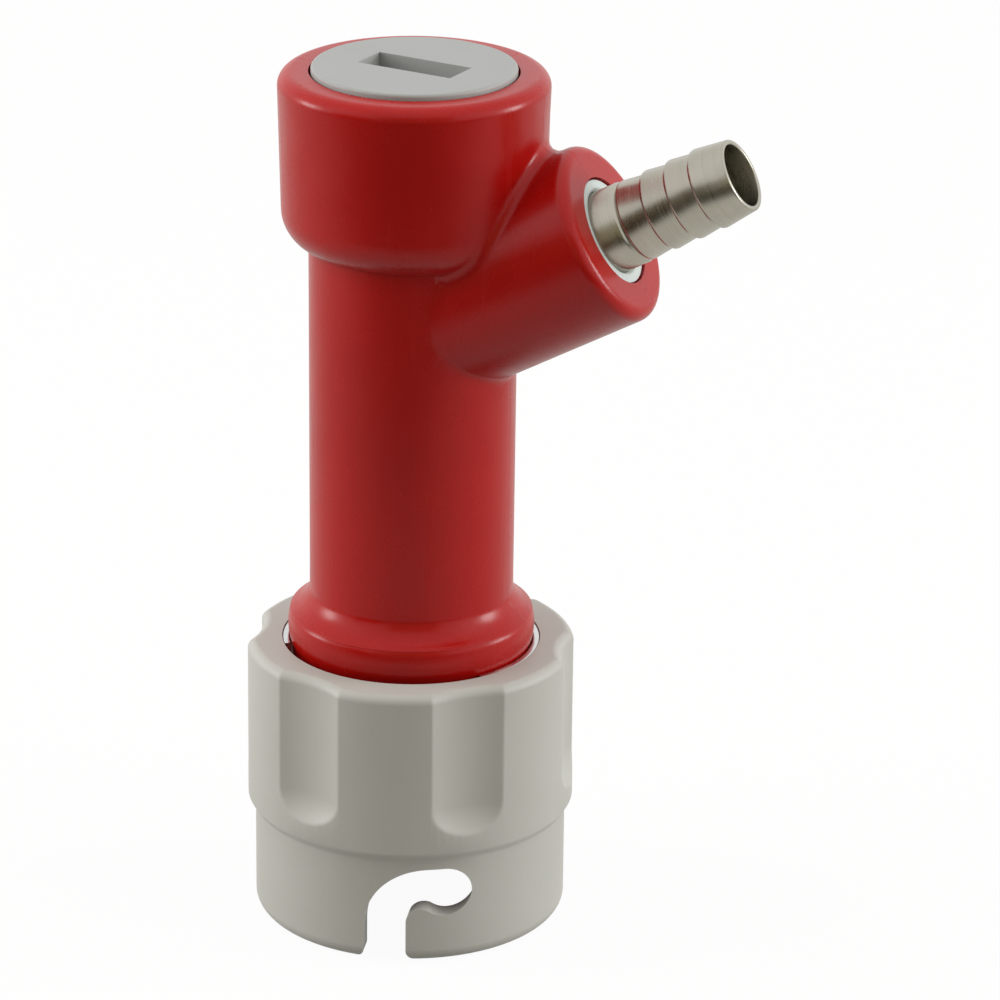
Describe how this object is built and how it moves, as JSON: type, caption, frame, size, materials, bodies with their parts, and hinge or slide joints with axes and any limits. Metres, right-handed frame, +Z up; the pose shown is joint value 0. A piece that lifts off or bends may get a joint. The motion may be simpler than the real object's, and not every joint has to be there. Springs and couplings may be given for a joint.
{
  "type": "pin lock gas connector",
  "caption": "Quick connector for a pin lock keg post: hose barb on a slanted arm, spring valve, screw cap and a turning bayonet collar.",
  "frame": {"origin": "on the housing's axis, in the plane of the bayonet collar's foot", "axes": "+Z up the housing towards the screw cap; -Y and +Y through the entries of the two J slots; the hose arm leans out of +X, turned 10 degrees towards -Y"},
  "size_m": [0.0541, 0.035, 0.0943],
  "materials": {
    "housing": "red moulded acetal, satin with a soft sheen",
    "collar": "warm light grey moulded acetal, matt",
    "cap": "pale grey moulded acetal, matt",
    "stainless": "turned stainless steel, fine lathe lines",
    "spring_steel": "bright drawn stainless wire",
    "ferrule": "white nylon",
    "seal": "black nitrile rubber",
    "valve": "natural white acetal"
  },
  "bodies": {
    "housing": {"main_body": "housing", "hose_barb": "stainless", "barb_ferrule": "ferrule", "barb_seal": "seal", "valve_spring": "spring_steel"},
    "collar": {"bayonet_collar": "collar", "retaining_ring": "spring_steel"},
    "poppet": {"valve_poppet": "valve", "poppet_seal": "seal"},
    "cap_seal_ring": {"cap_seal": "seal"},
    "cap": {"top_cap": "cap"}
  },
  "joints": [
    {"name": "collar_turn", "type": "hinge", "parent": "housing", "child": "collar", "pos_m": [0, 0, 0], "axis": [0, 0, 1], "continuous": true},
    {"name": "valve_slide", "type": "slide", "parent": "housing", "child": "poppet", "axis": [0, 0, 1], "range_m": [0, 0.004], "stiffness_N_per_m": 500, "springref_m": -0.008, "deforming": ["valve_spring"]},
    {"name": "cap_lift", "type": "slide", "parent": "housing", "child": "cap_seal_ring", "axis": [0, 0, 1], "range_m": [0, 0.00901]},
    {"name": "cap_turn", "type": "hinge", "parent": "cap_seal_ring", "child": "cap", "pos_m": [0, 0, 0.09], "axis": [0, 0, 1], "range_deg": [0, 2160]}
  ],
  "couplings": [
    {"joint": "cap_lift", "follows": "cap_turn", "m_per_rad": 0.00023873}
  ]
}
